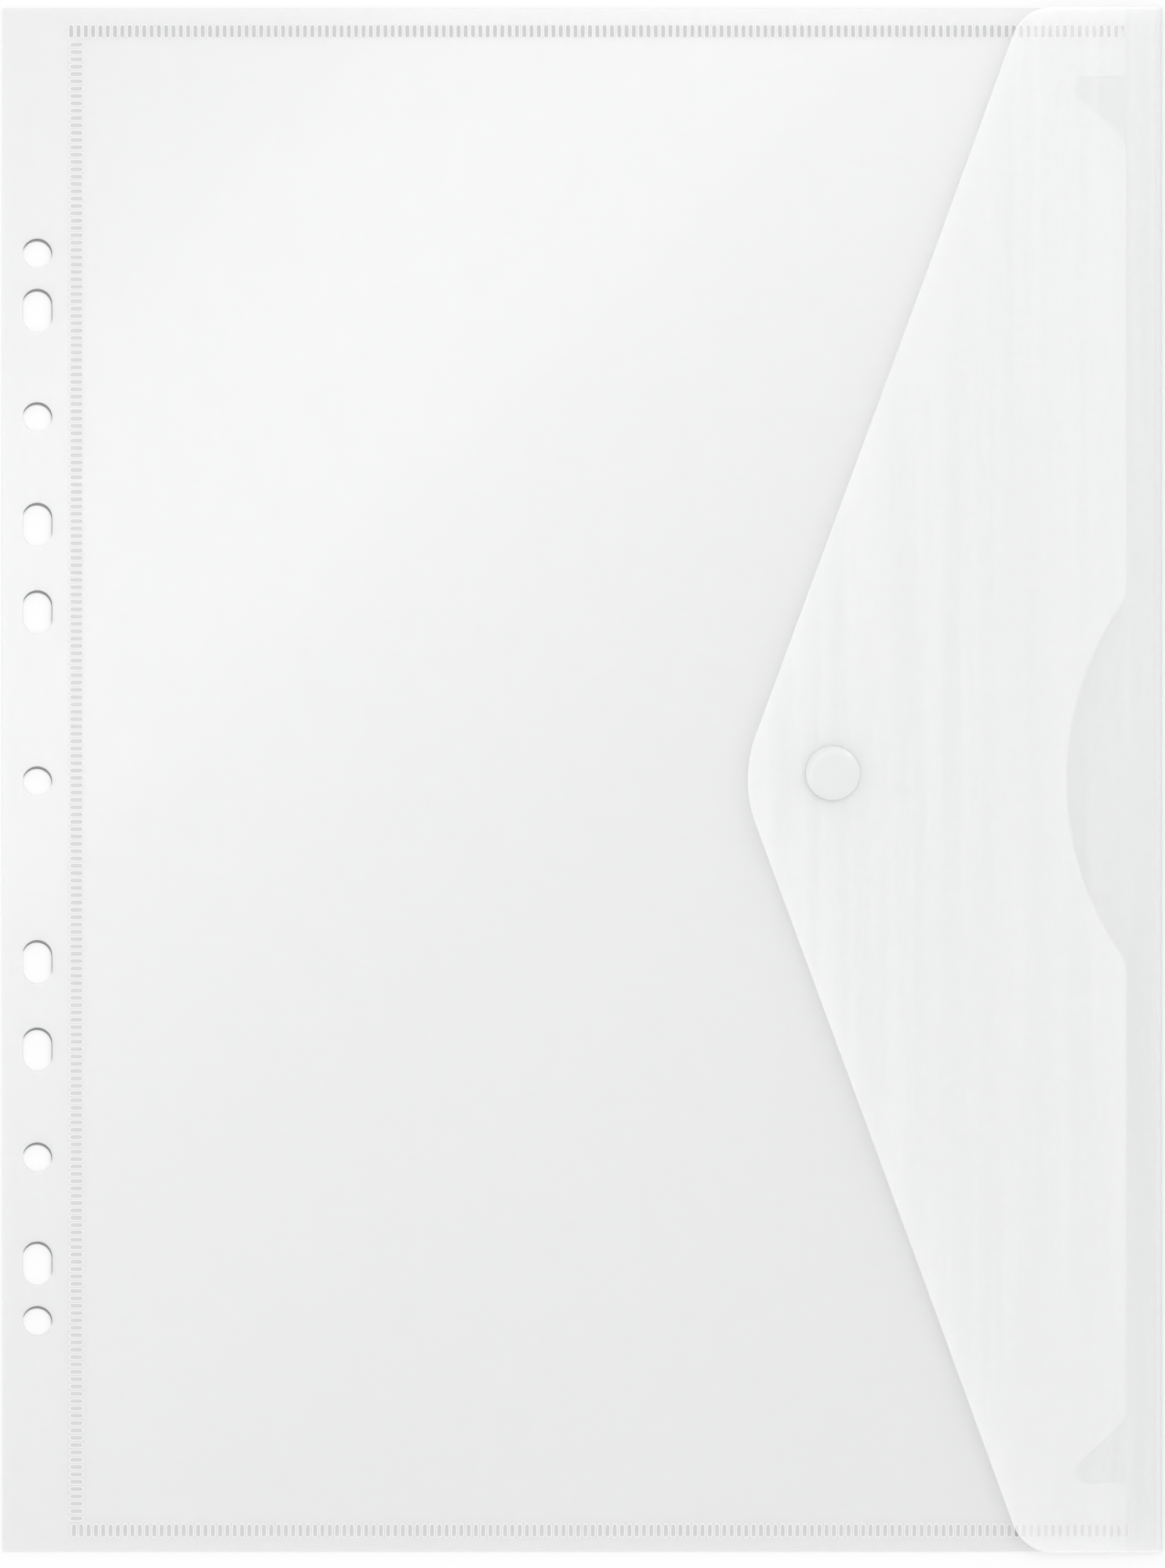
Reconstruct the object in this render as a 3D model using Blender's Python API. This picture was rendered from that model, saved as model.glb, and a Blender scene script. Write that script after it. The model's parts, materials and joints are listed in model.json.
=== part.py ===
"""Plastic snap envelope: a welded film pocket with a punched filing margin and a V flap with a press snap.

The frame is in metres. The origin is under the middle of the back face, +X points to the fold,
+Y to the top edge and +Z out of the front.

The front film is cut along the lines where it bends into a margin, a level panel and three slopes,
and the flap into a slope and a level panel, so that each solid is a plain plate and the spaces
behind them stay open.
"""

import math

import bmesh
import bpy

# Envelope
ENVELOPE_WIDTH = 0.2344
ENVELOPE_HEIGHT = 0.3122
SHEET_THICKNESS = 0.0002

# Filing margin: one middle hole and five pairs, each pair spaced from the one before it
HOLE_INSET = 0.00695
HOLE_DIAMETER = 0.0060
SLOT_LENGTH = 0.0089
MIDDLE_HOLE_DROP = 0.0003
PAIR_DROP = 0.0015
INNER_SLOT_PITCH = 0.0354
MIDDLE_SLOT_PITCH = 0.0177
INNER_ROUND_PITCH = 0.0218
OUTER_SLOT_PITCH = 0.0215
OUTER_ROUND_PITCH = 0.0116

# Welds: distance of each line from its own edge, and the fused film between the sheets
SPINE_WELD_INSET = 0.01485
TOP_WELD_INSET = 0.00465
BOTTOM_WELD_INSET = 0.00415
WELD_WIDTH = 0.0025
WELD_FILM = 0.00014
WELD_END_GAP = 0.0010

# Mouth edge of the front sheet
MOUTH_SETBACK = 0.0072
NOTCH_DEPTH = 0.0121
NOTCH_RADIUS = 0.0620
NOTCH_SHOULDER_RADIUS = 0.0060
RELIEF_INSET = 0.0138
RELIEF_DEPTH = 0.0104
RELIEF_ANGLE = math.radians(43.0)
RELIEF_NOSE_RADIUS = 0.0023
RELIEF_SHOULDER_RADIUS = 0.0045
TAB_CORNER_RADIUS = 0.0011

# Flap and its fold
FLAP_REACH = 0.0838
FLAP_EDGE_ANGLE = math.radians(20.2)
FLAP_TIP_RADIUS = 0.0263
FLAP_CORNER_RADIUS = 0.0087

# Press snap
SNAP_FROM_TIP = 0.0171
SNAP_RAISE = 0.0013
CAP_DIAMETER = 0.0110
CAP_HEIGHT = 0.0013
CAP_DOME = 0.0003
CAP_EDGE_RADIUS = 0.0006
CAP_FOOT_CHAMFER = 0.0002
PRONG_RADIUS = 0.0008
RIVET_OVERHANG = 0.0005
RIVET_THICKNESS = 0.0003
STUD_CAP_DIAMETER = 0.0100
STUD_CAP_HEIGHT = 0.0011
STUD_CAP_EDGE_RADIUS = 0.0005
STUD_FLANGE_REACH = 0.0022
STUD_FLANGE_HEIGHT = 0.0008
STUD_RING_WALL = 0.0008
STUD_RING_HEIGHT = 0.0010
STUD_NECK_RELIEF = 0.0002
SOCKET_WALL = 0.0019
SOCKET_FLOOR = 0.0008
SOCKET_LIP = 0.0002
SNAP_CHAMFER = 0.00015

# Clearances
FUSED_GAP = 0.00002
SEAT_GAP = 0.00005
PRONG_CLEARANCE = 0.0001
RIVET_CLEARANCE = 0.0003
SNAP_CLEARANCE = 0.0002
SNAP_END_CLEARANCE = 0.0003
SNAP_FACE_GAP = 0.0001
POCKET_CLEARANCE = 0.0005
FLAP_CLEARANCE = 0.00025

# Lie of the film: run of the slopes from the welds up to the level panel, and the flap's level stretch
# beyond the snap
SLOPE_RUN = 0.0600
SEAT_MARGIN = 0.0020

# Fineness of the round and bowed stretches
HOLE_STEPS = 20
CORNER_STEPS = 6
NOTCH_STEPS = 14
FOLD_STEPS = 8
SNAP_STEPS = 36
DOME_SHARES = (0.0, 0.4, 0.75)
MERGE_DISTANCE = 1e-7

# Derived radii of the snap, from its axis outwards
PRONG_HOLE_RADIUS = PRONG_RADIUS + PRONG_CLEARANCE
RIVET_RADIUS = PRONG_RADIUS + RIVET_OVERHANG
RING_INNER_RADIUS = RIVET_RADIUS + RIVET_CLEARANCE
RING_OUTER_RADIUS = RING_INNER_RADIUS + STUD_RING_WALL
STUD_FLANGE_RADIUS = RING_OUTER_RADIUS + STUD_FLANGE_REACH
SOCKET_LIP_RADIUS = RING_OUTER_RADIUS + SNAP_CLEARANCE
SOCKET_CAVITY_RADIUS = SOCKET_LIP_RADIUS + SOCKET_LIP
SOCKET_RADIUS = SOCKET_CAVITY_RADIUS + SOCKET_WALL
SOCKET_CAVITY_DEPTH = STUD_RING_HEIGHT - SNAP_FACE_GAP + SNAP_END_CLEARANCE
SOCKET_HEIGHT = SOCKET_FLOOR + SOCKET_CAVITY_DEPTH
SEAT_RADIUS = max(CAP_DIAMETER, STUD_CAP_DIAMETER, 2 * SOCKET_RADIUS) / 2 + SEAT_MARGIN

# Derived heights, from the table upwards
FRONT_UNDER = SHEET_THICKNESS + WELD_FILM
POCKET_DEPTH = POCKET_CLEARANCE + STUD_CAP_HEIGHT + SEAT_GAP
PANEL_LIFT = POCKET_DEPTH - WELD_FILM
PANEL_UNDER = FRONT_UNDER + PANEL_LIFT
PANEL_TOP = PANEL_UNDER + SHEET_THICKNESS
STUD_FOOT_Z = PANEL_TOP + SEAT_GAP
SOCKET_FOOT_Z = STUD_FOOT_Z + STUD_FLANGE_HEIGHT + SNAP_FACE_GAP
SOCKET_TOP_Z = SOCKET_FOOT_Z + SOCKET_HEIGHT
FLAP_SEAT_UNDER = SOCKET_TOP_Z + SEAT_GAP
FLAP_FOLD_UNDER = PANEL_TOP + FLAP_CLEARANCE
CAP_FOOT_Z = FLAP_SEAT_UNDER + SHEET_THICKNESS + SEAT_GAP
STUD_CAP_TOP_Z = PANEL_UNDER - SEAT_GAP

# Derived places
LEFT = -ENVELOPE_WIDTH / 2
RIGHT = ENVELOPE_WIDTH / 2
TOP = ENVELOPE_HEIGHT / 2
BOTTOM = -ENVELOPE_HEIGHT / 2
FOLD_INNER_RADIUS = (FLAP_FOLD_UNDER - SHEET_THICKNESS) / 2
FOLD_OUTER_RADIUS = FOLD_INNER_RADIUS + SHEET_THICKNESS
FOLD_X = RIGHT - FOLD_OUTER_RADIUS
FOLD_Z = FOLD_OUTER_RADIUS
MOUTH_X = RIGHT - MOUTH_SETBACK
SPINE_X = LEFT + SPINE_WELD_INSET
TOP_WELD_Y = TOP - TOP_WELD_INSET
BOTTOM_WELD_Y = BOTTOM + BOTTOM_WELD_INSET
TIP_X = RIGHT - FLAP_REACH
SNAP_X = TIP_X + SNAP_FROM_TIP
SNAP_Y = SNAP_RAISE

# Derived lines where the front film and the flap bend
SPINE_LINE = SPINE_X + WELD_WIDTH / 2
TOP_LINE = TOP_WELD_Y - WELD_WIDTH / 2
BOTTOM_LINE = BOTTOM_WELD_Y + WELD_WIDTH / 2
FLAP_LINE = SNAP_X + SEAT_RADIUS


def clear_scene() -> None:
    """Remove every object that the scene starts with."""
    for obj in list(bpy.data.objects):
        bpy.data.objects.remove(obj, do_unlink=True)


def plastic(name: str, colour: tuple, roughness: float, alpha: float = 1.0) -> bpy.types.Material:
    """Make a plastic of one colour."""
    material = bpy.data.materials.new(name)
    material.use_nodes = True
    shader = material.node_tree.nodes["Principled BSDF"]
    shader.inputs["Base Color"].default_value = (*colour, 1.0)
    shader.inputs["Roughness"].default_value = roughness
    shader.inputs["Metallic"].default_value = 0.0
    shader.inputs["Alpha"].default_value = alpha
    return material


def empty(name: str, location: tuple, parent=None) -> bpy.types.Object:
    """Make an empty that other pieces hang on."""
    obj = bpy.data.objects.new(name, None)
    obj.location = location
    obj.parent = parent
    obj.empty_display_size = CAP_DIAMETER
    bpy.context.scene.collection.objects.link(obj)
    return obj


def finished(name: str, bm: bmesh.types.BMesh, parent, location: tuple, material, smooth: bool):
    """Turn a closed bmesh into a named piece."""
    bmesh.ops.recalc_face_normals(bm, faces=bm.faces)
    for face in bm.faces:
        face.smooth = smooth
    mesh = bpy.data.meshes.new(name)
    bm.to_mesh(mesh)
    bm.free()
    mesh.materials.append(material)
    obj = bpy.data.objects.new(name, mesh)
    obj.parent = parent
    obj.location = location
    bpy.context.scene.collection.objects.link(obj)
    return obj


def arc(centre: tuple, radius: float, start: float, end: float, steps: int) -> list:
    """Points of an arc, both ends included."""
    points = []
    for i in range(steps + 1):
        angle = start + (end - start) * i / steps
        points.append((centre[0] + radius * math.cos(angle), centre[1] + radius * math.sin(angle)))
    return points


def rounded(corners: list) -> list:
    """Outline of a polygon whose corners are given as (x, y, radius, steps)."""
    outline = []
    count = len(corners)
    for i, (x, y, radius, steps) in enumerate(corners):
        if radius == 0.0:
            outline.append((x, y))
            continue
        before = corners[i - 1]
        after = corners[(i + 1) % count]
        to_before = math.atan2(before[1] - y, before[0] - x)
        to_after = math.atan2(after[1] - y, after[0] - x)
        opening = (to_after - to_before + math.pi) % (2 * math.pi) - math.pi
        middle = to_before + opening / 2
        reach = radius / math.sin(abs(opening) / 2)
        centre = (x + reach * math.cos(middle), y + reach * math.sin(middle))
        turn = math.copysign(math.pi - abs(opening), opening)
        first = middle + math.pi + turn / 2
        outline += arc(centre, radius, first, first - turn, steps)
    return outline


def front_under(x: float, y: float) -> float:
    """Height of the front film's underside: it slopes up from the three welds to the level panel."""
    inside = min(x - SPINE_LINE, TOP_LINE - y, y - BOTTOM_LINE)
    return FRONT_UNDER + PANEL_LIFT * min(max(inside / SLOPE_RUN, 0.0), 1.0)


def flap_under(x: float, _y: float) -> float:
    """Height of the flap's underside: it slopes up from the fold and lies level on the socket."""
    rise = FLAP_SEAT_UNDER - FLAP_FOLD_UNDER
    return FLAP_FOLD_UNDER + rise * min((FOLD_X - x) / (FOLD_X - FLAP_LINE), 1.0)


def back_under(_x: float, _y: float) -> float:
    """Height of the back sheet's underside."""
    return 0.0


def split(bm: bmesh.types.BMesh, place: tuple, normal: tuple, trim: bool) -> None:
    """Split a flat film along a line, and with trim take away the side that the normal points to."""
    geom = bm.verts[:] + bm.edges[:] + bm.faces[:]
    bmesh.ops.bisect_plane(
        bm, geom=geom, dist=MERGE_DISTANCE, plane_co=(*place, 0.0), plane_no=(*normal, 0.0), clear_outer=trim,
    )


def film(name: str, loops: list, under, trims: list, bends: list, parent, origin: tuple, material):
    """Make a film of one thickness from its outline and holes.

    Each trim is a (place, normal) line that ends the film, and each bend one that it folds at.
    """
    bm = bmesh.new()
    for loop in loops:
        verts = [bm.verts.new((x, y, 0.0)) for x, y in loop]
        for i, vert in enumerate(verts):
            bm.edges.new((vert, verts[(i + 1) % len(verts)]))
    bmesh.ops.triangle_fill(bm, use_beauty=True, use_dissolve=False, edges=bm.edges[:])
    for place, normal in trims:
        split(bm, place, normal, True)
    for place, normal in bends:
        split(bm, place, normal, False)
    bmesh.ops.triangulate(bm, faces=bm.faces[:])
    for vert in bm.verts:
        vert.co.z = under(vert.co.x, vert.co.y)
    raised = bmesh.ops.extrude_face_region(bm, geom=bm.faces[:], use_keep_orig=True)["geom"]
    upper = [item for item in raised if isinstance(item, bmesh.types.BMVert)]
    bmesh.ops.translate(bm, verts=upper, vec=(0.0, 0.0, SHEET_THICKNESS))
    bmesh.ops.translate(bm, verts=bm.verts[:], vec=tuple(-value for value in origin))
    return finished(name, bm, parent, (0.0, 0.0, 0.0), material, False)


def block(name: str, low: tuple, high: tuple, parent, material):
    """Make a straight block between two corners."""
    bm = bmesh.new()
    bmesh.ops.create_cube(bm, size=1.0)
    size = tuple(h - l for l, h in zip(low, high))
    middle = tuple((h + l) / 2 for l, h in zip(low, high))
    bmesh.ops.scale(bm, verts=bm.verts[:], vec=size)
    return finished(name, bm, parent, middle, material, False)


def turned(name: str, profile: list, closed: bool, parent, location: tuple, material):
    """Turn a profile of (radius, height) points about the snap's axis."""
    bm = bmesh.new()
    verts = [bm.verts.new((radius, 0.0, height)) for radius, height in profile]
    edges = [bm.edges.new(pair) for pair in zip(verts, verts[1:])]
    if closed:
        edges.append(bm.edges.new((verts[-1], verts[0])))
    bmesh.ops.spin(
        bm, geom=verts + edges, cent=(0.0, 0.0, 0.0), axis=(0.0, 0.0, 1.0),
        angle=2 * math.pi, steps=SNAP_STEPS, use_merge=True,
    )
    bmesh.ops.remove_doubles(bm, verts=bm.verts[:], dist=MERGE_DISTANCE)
    bmesh.ops.dissolve_degenerate(bm, edges=bm.edges[:], dist=MERGE_DISTANCE)
    return finished(name, bm, parent, location, material, True)


def hole(x: float, y: float, length: float) -> list:
    """Outline of a punched hole that is as long as given along Y."""
    radius = HOLE_DIAMETER / 2
    half = max(length / 2 - radius, 0.0)
    if half == 0.0:
        return arc((x, y), radius, 0.0, 2 * math.pi, HOLE_STEPS)[:-1]
    upper = arc((x, y + half), radius, 0.0, math.pi, HOLE_STEPS // 2)
    lower = arc((x, y - half), radius, math.pi, 2 * math.pi, HOLE_STEPS // 2)
    return upper + lower


def filing_holes() -> list:
    """Outlines of the eleven punched holes of the filing margin."""
    x = LEFT + HOLE_INSET
    holes = [hole(x, -MIDDLE_HOLE_DROP, HOLE_DIAMETER)]
    pairs = (
        (INNER_SLOT_PITCH, SLOT_LENGTH),
        (MIDDLE_SLOT_PITCH, SLOT_LENGTH),
        (INNER_ROUND_PITCH, HOLE_DIAMETER),
        (OUTER_SLOT_PITCH, SLOT_LENGTH),
        (OUTER_ROUND_PITCH, HOLE_DIAMETER),
    )
    reach = 0.0
    for pitch, length in pairs:
        reach += pitch
        holes.append(hole(x, reach - PAIR_DROP, length))
        holes.append(hole(x, -reach - PAIR_DROP, length))
    return holes


def prong_hole() -> list:
    """Outline of the hole that a rivet prong passes through."""
    return arc((SNAP_X, SNAP_Y), PRONG_HOLE_RADIUS, 0.0, 2 * math.pi, HOLE_STEPS)[:-1]


def mouth_edge() -> list:
    """Corners of the front sheet's free edge, from the bottom tab up to the top tab."""
    half_chord = math.sqrt(NOTCH_RADIUS**2 - (NOTCH_RADIUS - NOTCH_DEPTH) ** 2)
    middle_x = MOUTH_X - NOTCH_DEPTH + NOTCH_RADIUS
    spread = math.asin(half_chord / NOTCH_RADIUS)
    half_angle = RELIEF_ANGLE / 2
    nose = RELIEF_DEPTH + RELIEF_NOSE_RADIUS * (1 / math.tan(half_angle) - 1)
    relief_y = TOP - RELIEF_INSET
    shoulder_y = relief_y - nose * math.tan(RELIEF_ANGLE)
    upper_relief = [
        (MOUTH_X, shoulder_y, RELIEF_SHOULDER_RADIUS, CORNER_STEPS),
        (MOUTH_X - nose, relief_y, RELIEF_NOSE_RADIUS, CORNER_STEPS),
        (MOUTH_X, relief_y, TAB_CORNER_RADIUS, CORNER_STEPS),
    ]
    lower_relief = [(x, -y, radius, steps) for x, y, radius, steps in reversed(upper_relief)]
    bow = arc((middle_x, 0.0), NOTCH_RADIUS, math.pi + spread, math.pi - spread, NOTCH_STEPS)
    notch = [(x, y, 0.0, 0) for x, y in bow]
    notch[0] = (*notch[0][:2], NOTCH_SHOULDER_RADIUS, CORNER_STEPS)
    notch[-1] = (*notch[-1][:2], NOTCH_SHOULDER_RADIUS, CORNER_STEPS)
    return lower_relief + notch + upper_relief


def front_outline() -> list:
    """Outline of the front sheet."""
    corners = [(LEFT, BOTTOM, 0.0, 0), (MOUTH_X, BOTTOM, 0.0, 0)]
    corners += mouth_edge()
    corners += [(MOUTH_X, TOP, 0.0, 0), (LEFT, TOP, 0.0, 0)]
    return rounded(corners)


def back_outline() -> list:
    """Outline of the back sheet up to the fold."""
    end = FOLD_X - FUSED_GAP
    return [(LEFT, BOTTOM), (end, BOTTOM), (end, TOP), (LEFT, TOP)]


def flap_outline() -> list:
    """Outline of the flap from the fold to its rounded tip."""
    end = FOLD_X - FUSED_GAP
    vertex_x = TIP_X - FLAP_TIP_RADIUS * (1 / math.cos(FLAP_EDGE_ANGLE) - 1)
    corner_x = vertex_x + TOP * math.tan(FLAP_EDGE_ANGLE)
    return rounded([
        (end, BOTTOM, 0.0, 0),
        (end, TOP, 0.0, 0),
        (corner_x, TOP, FLAP_CORNER_RADIUS, CORNER_STEPS),
        (vertex_x, 0.0, FLAP_TIP_RADIUS, CORNER_STEPS),
        (corner_x, BOTTOM, FLAP_CORNER_RADIUS, CORNER_STEPS),
    ])


def fold(name: str, parent, material):
    """Make the half-round bend that joins the back sheet to the flap."""
    centre = (FOLD_X, FOLD_Z)
    outer = arc(centre, FOLD_OUTER_RADIUS, -math.pi / 2, math.pi / 2, FOLD_STEPS)
    inner = arc(centre, FOLD_INNER_RADIUS, math.pi / 2, -math.pi / 2, FOLD_STEPS)
    bm = bmesh.new()
    verts = [bm.verts.new((x, BOTTOM, z)) for x, z in outer + inner]
    strips = []
    for i in range(FOLD_STEPS):
        strips.append(bm.faces.new((verts[i], verts[i + 1], verts[-i - 2], verts[-i - 1])))
    swept = bmesh.ops.extrude_face_region(bm, geom=strips, use_keep_orig=True)["geom"]
    moved = [item for item in swept if isinstance(item, bmesh.types.BMVert)]
    bmesh.ops.translate(bm, verts=moved, vec=(0.0, ENVELOPE_HEIGHT, 0.0))
    return finished(name, bm, parent, (0.0, 0.0, 0.0), material, False)


def cap_profile() -> list:
    """Profile of the snap cap: domed button, prong through the flap and socket, upset rivet end."""
    radius = CAP_DIAMETER / 2
    rim = radius - CAP_EDGE_RADIUS
    rim_z = CAP_HEIGHT - CAP_DOME
    dome = [(rim * share, CAP_HEIGHT - CAP_DOME * share**2) for share in DOME_SHARES]
    edge = arc((rim, rim_z - CAP_EDGE_RADIUS), CAP_EDGE_RADIUS, math.pi / 2, 0.0, CORNER_STEPS)
    prong_end = -(SEAT_GAP + SHEET_THICKNESS + SEAT_GAP + SOCKET_FLOOR + SEAT_GAP)
    return dome + edge + [
        (radius, CAP_FOOT_CHAMFER),
        (radius - CAP_FOOT_CHAMFER, 0.0),
        (PRONG_RADIUS, 0.0),
        (PRONG_RADIUS, prong_end),
        (RIVET_RADIUS, prong_end),
        (RIVET_RADIUS, prong_end - RIVET_THICKNESS),
        (0.0, prong_end - RIVET_THICKNESS),
    ]


def socket_profile() -> list:
    """Profile of the socket, downwards from the face that meets the flap."""
    low = -SOCKET_HEIGHT
    return [
        (PRONG_HOLE_RADIUS, 0.0),
        (SOCKET_RADIUS - SNAP_CHAMFER, 0.0),
        (SOCKET_RADIUS, -SNAP_CHAMFER),
        (SOCKET_RADIUS, low + SNAP_CHAMFER),
        (SOCKET_RADIUS - SNAP_CHAMFER, low),
        (SOCKET_LIP_RADIUS + SNAP_CHAMFER, low),
        (SOCKET_LIP_RADIUS, low + SNAP_CHAMFER),
        (SOCKET_LIP_RADIUS, low + 2 * SNAP_CHAMFER),
        (SOCKET_CAVITY_RADIUS, low + 2 * SNAP_CHAMFER + SOCKET_LIP),
        (SOCKET_CAVITY_RADIUS, -SOCKET_FLOOR),
        (PRONG_HOLE_RADIUS, -SOCKET_FLOOR),
    ]


def stud_profile() -> list:
    """Profile of the stud, upwards from the face that meets the front sheet."""
    ring_top = STUD_FLANGE_HEIGHT + STUD_RING_HEIGHT
    neck = RING_OUTER_RADIUS - STUD_NECK_RELIEF
    bead = ring_top - STUD_RING_HEIGHT / 2
    return [
        (PRONG_HOLE_RADIUS, 0.0),
        (STUD_FLANGE_RADIUS - SNAP_CHAMFER, 0.0),
        (STUD_FLANGE_RADIUS, SNAP_CHAMFER),
        (STUD_FLANGE_RADIUS, STUD_FLANGE_HEIGHT - SNAP_CHAMFER),
        (STUD_FLANGE_RADIUS - SNAP_CHAMFER, STUD_FLANGE_HEIGHT),
        (neck, STUD_FLANGE_HEIGHT),
        (neck, bead - STUD_NECK_RELIEF),
        (RING_OUTER_RADIUS, bead),
        (RING_OUTER_RADIUS, ring_top - SNAP_CHAMFER),
        (RING_OUTER_RADIUS - SNAP_CHAMFER, ring_top),
        (RING_INNER_RADIUS + SNAP_CHAMFER, ring_top),
        (RING_INNER_RADIUS, ring_top - SNAP_CHAMFER),
        (RING_INNER_RADIUS, STUD_FLANGE_HEIGHT),
        (PRONG_HOLE_RADIUS, STUD_FLANGE_HEIGHT),
    ]


def stud_cap_profile() -> list:
    """Profile of the stud cap: upset rivet end, prong through the front sheet and stud, flat button."""
    radius = STUD_CAP_DIAMETER / 2
    prong_end = SEAT_GAP + SHEET_THICKNESS + SEAT_GAP + STUD_FLANGE_HEIGHT + SEAT_GAP
    edge_centre = (radius - STUD_CAP_EDGE_RADIUS, STUD_CAP_EDGE_RADIUS - STUD_CAP_HEIGHT)
    return [
        (0.0, prong_end + RIVET_THICKNESS),
        (RIVET_RADIUS, prong_end + RIVET_THICKNESS),
        (RIVET_RADIUS, prong_end),
        (PRONG_RADIUS, prong_end),
        (PRONG_RADIUS, 0.0),
        (radius - CAP_FOOT_CHAMFER, 0.0),
        (radius, -CAP_FOOT_CHAMFER),
    ] + arc(edge_centre, STUD_CAP_EDGE_RADIUS, 0.0, -math.pi / 2, CORNER_STEPS) + [
        (0.0, -STUD_CAP_HEIGHT),
    ]


def build_front(root, material) -> None:
    """Build the front film as its margin, its level panel and the slopes between the panel and the welds."""
    half_gap = FUSED_GAP / 2
    right, left, up, down = (1.0, 0.0), (-1.0, 0.0), (0.0, 1.0), (0.0, -1.0)
    corner = math.sqrt(0.5)
    level_x = SPINE_LINE + SLOPE_RUN
    level_top = TOP_LINE - SLOPE_RUN
    level_bottom = BOTTOM_LINE + SLOPE_RUN
    outline = [front_outline()]
    pieces = (
        ("front_margin", filing_holes(), [
            ((SPINE_LINE - half_gap, 0.0), right),
        ], []),
        ("front_spine_slope", [], [
            ((SPINE_LINE + half_gap, 0.0), left),
            ((level_x - half_gap, 0.0), right),
            ((SPINE_LINE + half_gap, TOP_LINE - half_gap), (corner, corner)),
            ((SPINE_LINE + half_gap, BOTTOM_LINE + half_gap), (corner, -corner)),
        ], []),
        ("front_top_slope", [], [
            ((SPINE_LINE + half_gap, 0.0), left),
            ((0.0, level_top + half_gap), down),
            ((SPINE_LINE + half_gap, TOP_LINE + half_gap), (-corner, -corner)),
        ], [((0.0, TOP_LINE), up)]),
        ("front_bottom_slope", [], [
            ((SPINE_LINE + half_gap, 0.0), left),
            ((0.0, level_bottom - half_gap), up),
            ((SPINE_LINE + half_gap, BOTTOM_LINE - half_gap), (-corner, corner)),
        ], [((0.0, BOTTOM_LINE), up)]),
        ("front_panel", [prong_hole()], [
            ((level_x + half_gap, 0.0), left),
            ((0.0, level_top - half_gap), up),
            ((0.0, level_bottom + half_gap), down),
        ], []),
    )
    for name, holes, trims, bends in pieces:
        film(name, outline + holes, front_under, trims, bends, root, (0.0, 0.0, 0.0), material)


def build_welds(root, material) -> None:
    """Build the three strips of fused film that join the two sheets."""
    low_z = SHEET_THICKNESS + FUSED_GAP
    high_z = FRONT_UNDER - FUSED_GAP
    weld_edge = WELD_WIDTH / 2
    for name, y in (("top_weld", TOP_WELD_Y), ("bottom_weld", BOTTOM_WELD_Y)):
        low = (SPINE_LINE + WELD_END_GAP, y - weld_edge, low_z)
        block(name, low, (MOUTH_X, y + weld_edge, high_z), root, material)
    low = (SPINE_X - weld_edge, BOTTOM_WELD_Y - weld_edge, low_z)
    high = (SPINE_X + weld_edge, TOP_WELD_Y + weld_edge, high_z)
    block("spine_weld", low, high, root, material)


def build_pocket(root) -> None:
    """Build the back sheet, the fold, the front film and the welds."""
    back_film = plastic("back_film", (0.80, 0.81, 0.82), 0.35, 0.6)
    front_film = plastic("front_film", (0.81, 0.82, 0.83), 0.35, 0.6)
    fold_film = plastic("fold_film", (0.82, 0.83, 0.84), 0.35, 0.7)
    fused_film = plastic("fused_film", (0.62, 0.63, 0.64), 0.45, 0.9)
    back_loops = [back_outline()] + filing_holes()
    film("back_sheet", back_loops, back_under, [], [], root, (0.0, 0.0, 0.0), back_film)
    fold("fold_hinge", root, fold_film)
    build_front(root, front_film)
    build_welds(root, fused_film)


def build_stud(root) -> None:
    """Build the half of the snap that is riveted to the front sheet."""
    moulding = plastic("stud_plastic", (0.80, 0.82, 0.81), 0.3)
    turned("snap_stud", stud_profile(), True, root, (SNAP_X, SNAP_Y, STUD_FOOT_Z), moulding)
    turned("snap_stud_cap", stud_cap_profile(), False, root, (SNAP_X, SNAP_Y, STUD_CAP_TOP_Z), moulding)


def build_flap(root) -> None:
    """Build the flap with its half of the snap, all hung on the fold's axis."""
    flap_film = plastic("flap_film", (0.83, 0.84, 0.85), 0.35, 0.6)
    moulding = plastic("cap_plastic", (0.83, 0.85, 0.84), 0.3)
    axis = (FOLD_X, 0.0, FOLD_Z)
    hinge = empty("flap_axis", axis, root)
    slope_end = ((FLAP_LINE + FUSED_GAP / 2, 0.0), (-1.0, 0.0))
    panel_end = ((FLAP_LINE - FUSED_GAP / 2, 0.0), (1.0, 0.0))
    film("flap_slope", [flap_outline()], flap_under, [slope_end], [], hinge, axis, flap_film)
    film("flap_panel", [flap_outline(), prong_hole()], flap_under, [panel_end], [], hinge, axis, flap_film)
    x = SNAP_X - axis[0]
    turned("snap_cap", cap_profile(), False, hinge, (x, SNAP_Y, CAP_FOOT_Z - axis[2]), moulding)
    turned("snap_socket", socket_profile(), True, hinge, (x, SNAP_Y, SOCKET_TOP_Z - axis[2]), moulding)


def main() -> None:
    """Build the whole envelope, closed and lying on its back."""
    clear_scene()
    root = empty("envelope", (0.0, 0.0, 0.0))
    build_pocket(root)
    build_stud(root)
    build_flap(root)


main()
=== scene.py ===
"""Looks of a translucent plastic snap envelope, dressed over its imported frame.

The frame is in metres: +X points to the fold of the flap, +Y to the top edge and +Z out of the front.
"""

import json
import logging
import math
from collections.abc import Callable
from dataclasses import dataclass, field
from enum import Enum, IntEnum
from functools import cache

import bpy
import numpy as np
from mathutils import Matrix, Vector
from mathutils.geometry import delaunay_2d_cdt


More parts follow.
